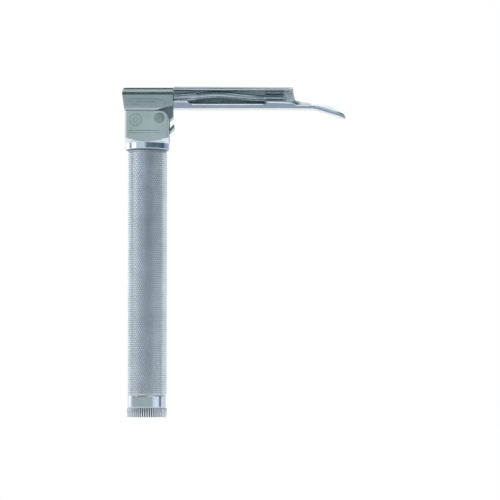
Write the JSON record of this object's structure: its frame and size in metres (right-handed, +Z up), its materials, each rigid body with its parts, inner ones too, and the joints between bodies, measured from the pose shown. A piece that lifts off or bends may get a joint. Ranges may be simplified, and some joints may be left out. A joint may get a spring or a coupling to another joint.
{
  "type": "laryngoscope",
  "caption": "Fibre-optic laryngoscope: slim knurled battery handle with a hinged fork head and a straight blade hooked on at a right angle.",
  "frame": {"origin": "centre of the end cap's flat base, on the handle's axis", "axes": "+Z up the handle, +X from the handle towards the blade's tip, -Y towards the blade's open side"},
  "size_m": [0.1085, 0.0214, 0.161],
  "materials": {
    "knurled_steel": "diamond knurling, bright",
    "satin_steel": "satin",
    "pin_steel": "turned",
    "polished_steel": "polished",
    "blade_steel": "bright satin",
    "dark_steel": "drawn and polished, dark reflections",
    "spring_steel": "drawn wire",
    "brass": "machined",
    "white_plastic": "moulded",
    "black_rubber": "matte",
    "clear_glass": "clear",
    "glass_fibre": "polished fibre ends",
    "battery_can": "printed sleeve, plain"
  },
  "bodies": {
    "handle": {"handle_tube": "knurled_steel", "handle_head": "satin_steel", "hinge_pin": "pin_steel", "lamp_bush": "white_plastic", "retaining_ring": "brass", "lamp_spring": "spring_steel", "battery_lower": "battery_can", "battery_upper": "battery_can"},
    "lamp": {"lamp_carrier": "brass", "lamp_base": "polished_steel", "bulb_glass": "clear_glass", "contact_insulator": "white_plastic", "centre_contact": "brass"},
    "cap_core": {"cap_contact_plate": "brass", "cap_spring": "spring_steel"},
    "cap": {"end_cap": "polished_steel", "cap_oring": "black_rubber"},
    "blade": {"blade_block": "satin_steel", "blade_spatula": "blade_steel", "light_guide_sleeve": "satin_steel", "light_guide_tube": "dark_steel", "light_guide_ferrule": "dark_steel", "fibre_bundle": "glass_fibre", "light_input_ferrule": "polished_steel", "ball_retainer_front": "dark_steel", "ball_retainer_back": "dark_steel", "detent_spring": "spring_steel"},
    "ball_front": {"detent_ball_front": "polished_steel"},
    "ball_back": {"detent_ball_back": "polished_steel"}
  },
  "joints": [
    {"name": "blade_fold", "type": "hinge", "parent": "handle", "child": "blade", "pos_m": [0.0062, 0, 0.1445], "axis": [0, 1, 0], "range_deg": [0, 86]},
    {"name": "lamp_press", "type": "slide", "parent": "handle", "child": "lamp", "axis": [0, 0, 1], "range_m": [0, 0.0007], "deforming": ["lamp_spring"]},
    {"name": "ball_press_front", "type": "slide", "parent": "blade", "child": "ball_front", "axis": [0, 1, 0], "range_m": [0, 0.0006], "stiffness_N_per_m": 1000, "springref_m": -0.001, "deforming": ["detent_spring"]},
    {"name": "ball_press_back", "type": "slide", "parent": "blade", "child": "ball_back", "axis": [0, -1, 0], "range_m": [0, 0.0006], "stiffness_N_per_m": 1000, "springref_m": -0.001, "deforming": ["detent_spring"]},
    {"name": "cap_travel", "type": "slide", "parent": "handle", "child": "cap_core", "axis": [0, 0, -1], "range_m": [0, 0.008]},
    {"name": "cap_unscrew", "type": "hinge", "parent": "cap_core", "child": "cap", "pos_m": [0, 0, 0], "axis": [0, 0, -1], "range_deg": [0, 2881]}
  ],
  "couplings": [
    {"joint": "lamp_press", "follows": "blade_fold", "m_per_rad": 0.000466},
    {"joint": "cap_unscrew", "follows": "cap_travel", "rad_per_m": 6283.2}
  ]
}
